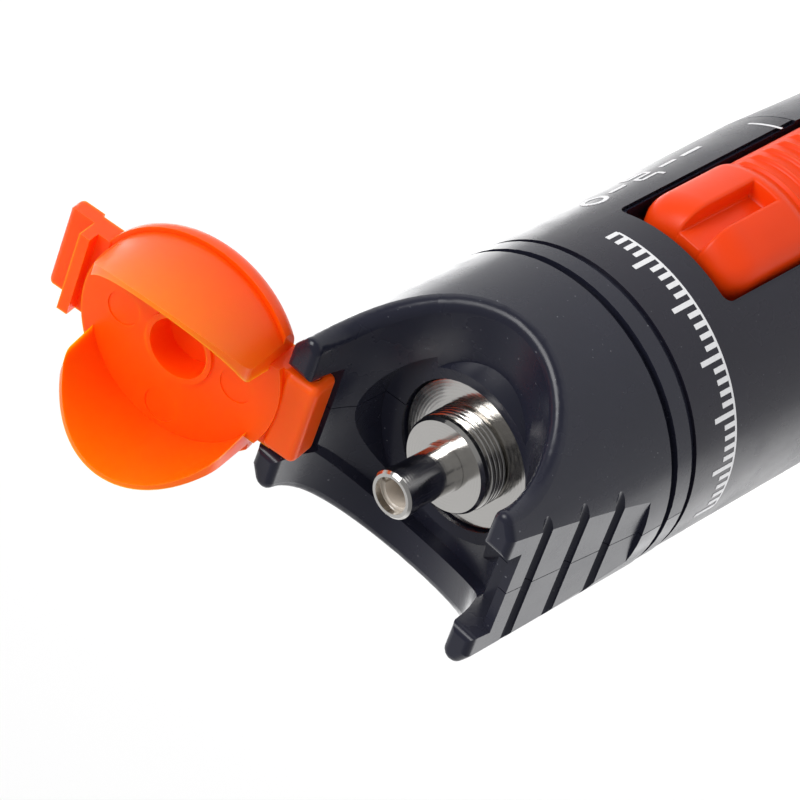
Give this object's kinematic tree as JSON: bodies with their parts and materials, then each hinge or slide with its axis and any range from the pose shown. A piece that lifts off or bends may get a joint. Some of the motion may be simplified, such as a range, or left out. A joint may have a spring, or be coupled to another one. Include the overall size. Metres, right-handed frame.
{
  "type": "visual fault locator",
  "caption": "Pen-type laser tester for optical fibre with a ferrule tube in a four-pronged head, a hinged cap, a thumb slide and a screwed tail cap.",
  "frame": {"origin": "centre of the flat tail face, on the pen's axis", "axes": "+Z along the pen from the tail to the head; -Y towards the thumb slide; +X towards the cap's hinge"},
  "size_m": [0.0458, 0.0273, 0.1839],
  "materials": {
    "shell": "satin moulded ABS",
    "label": "satin printed film",
    "cap": "glossy moulded polypropylene",
    "lever": "moulded",
    "board": "solder mask",
    "chip": "moulded epoxy",
    "nickel": "turned and nickel plated",
    "steel": "bright",
    "ceramic": "polished zirconia",
    "brass": "turned",
    "lens": "clear",
    "cell": "satin",
    "tail": "satin moulded ABS",
    "rubber": "matte"
  },
  "bodies": {
    "barrel": {"upper_shell": "shell", "lower_shell": "shell", "label_sleeve": "label", "hinge_pin": "steel", "circuit_board": "board", "slide_switch": "steel", "driver_chip": "chip", "connector_flange": "nickel", "ferrule_tube": "nickel", "ceramic_sleeve": "ceramic", "laser_barrel": "brass", "laser_diode": "steel", "collimator_lens": "lens", "rear_cell": "cell", "front_cell": "cell", "front_contact": "nickel"},
    "cap": {"dust_cap": "cap"},
    "slide": {"slide_button": "cap", "switch_lever": "lever"},
    "seal": {"seal_ring": "rubber"},
    "tail": {"tail_cap": "tail", "tail_spring": "steel"}
  },
  "joints": [
    {"name": "cap_hinge", "type": "hinge", "parent": "barrel", "child": "cap", "pos_m": [0.01, 0, 0.1735], "axis": [0, -1, 0], "range_deg": [0, 170]},
    {"name": "slide_travel", "type": "slide", "parent": "barrel", "child": "slide", "axis": [0, 0, 1], "range_m": [-0.008, 0]},
    {"name": "tail_lift", "type": "slide", "parent": "barrel", "child": "seal", "axis": [0, 0, -1], "range_m": [0, 0.006]},
    {"name": "tail_turn", "type": "hinge", "parent": "seal", "child": "tail", "pos_m": [0, 0, 0], "axis": [0, 0, -1], "range_deg": [0, 1440]}
  ],
  "couplings": [
    {"joint": "tail_lift", "follows": "tail_turn", "m_per_rad": 0.00023873}
  ]
}
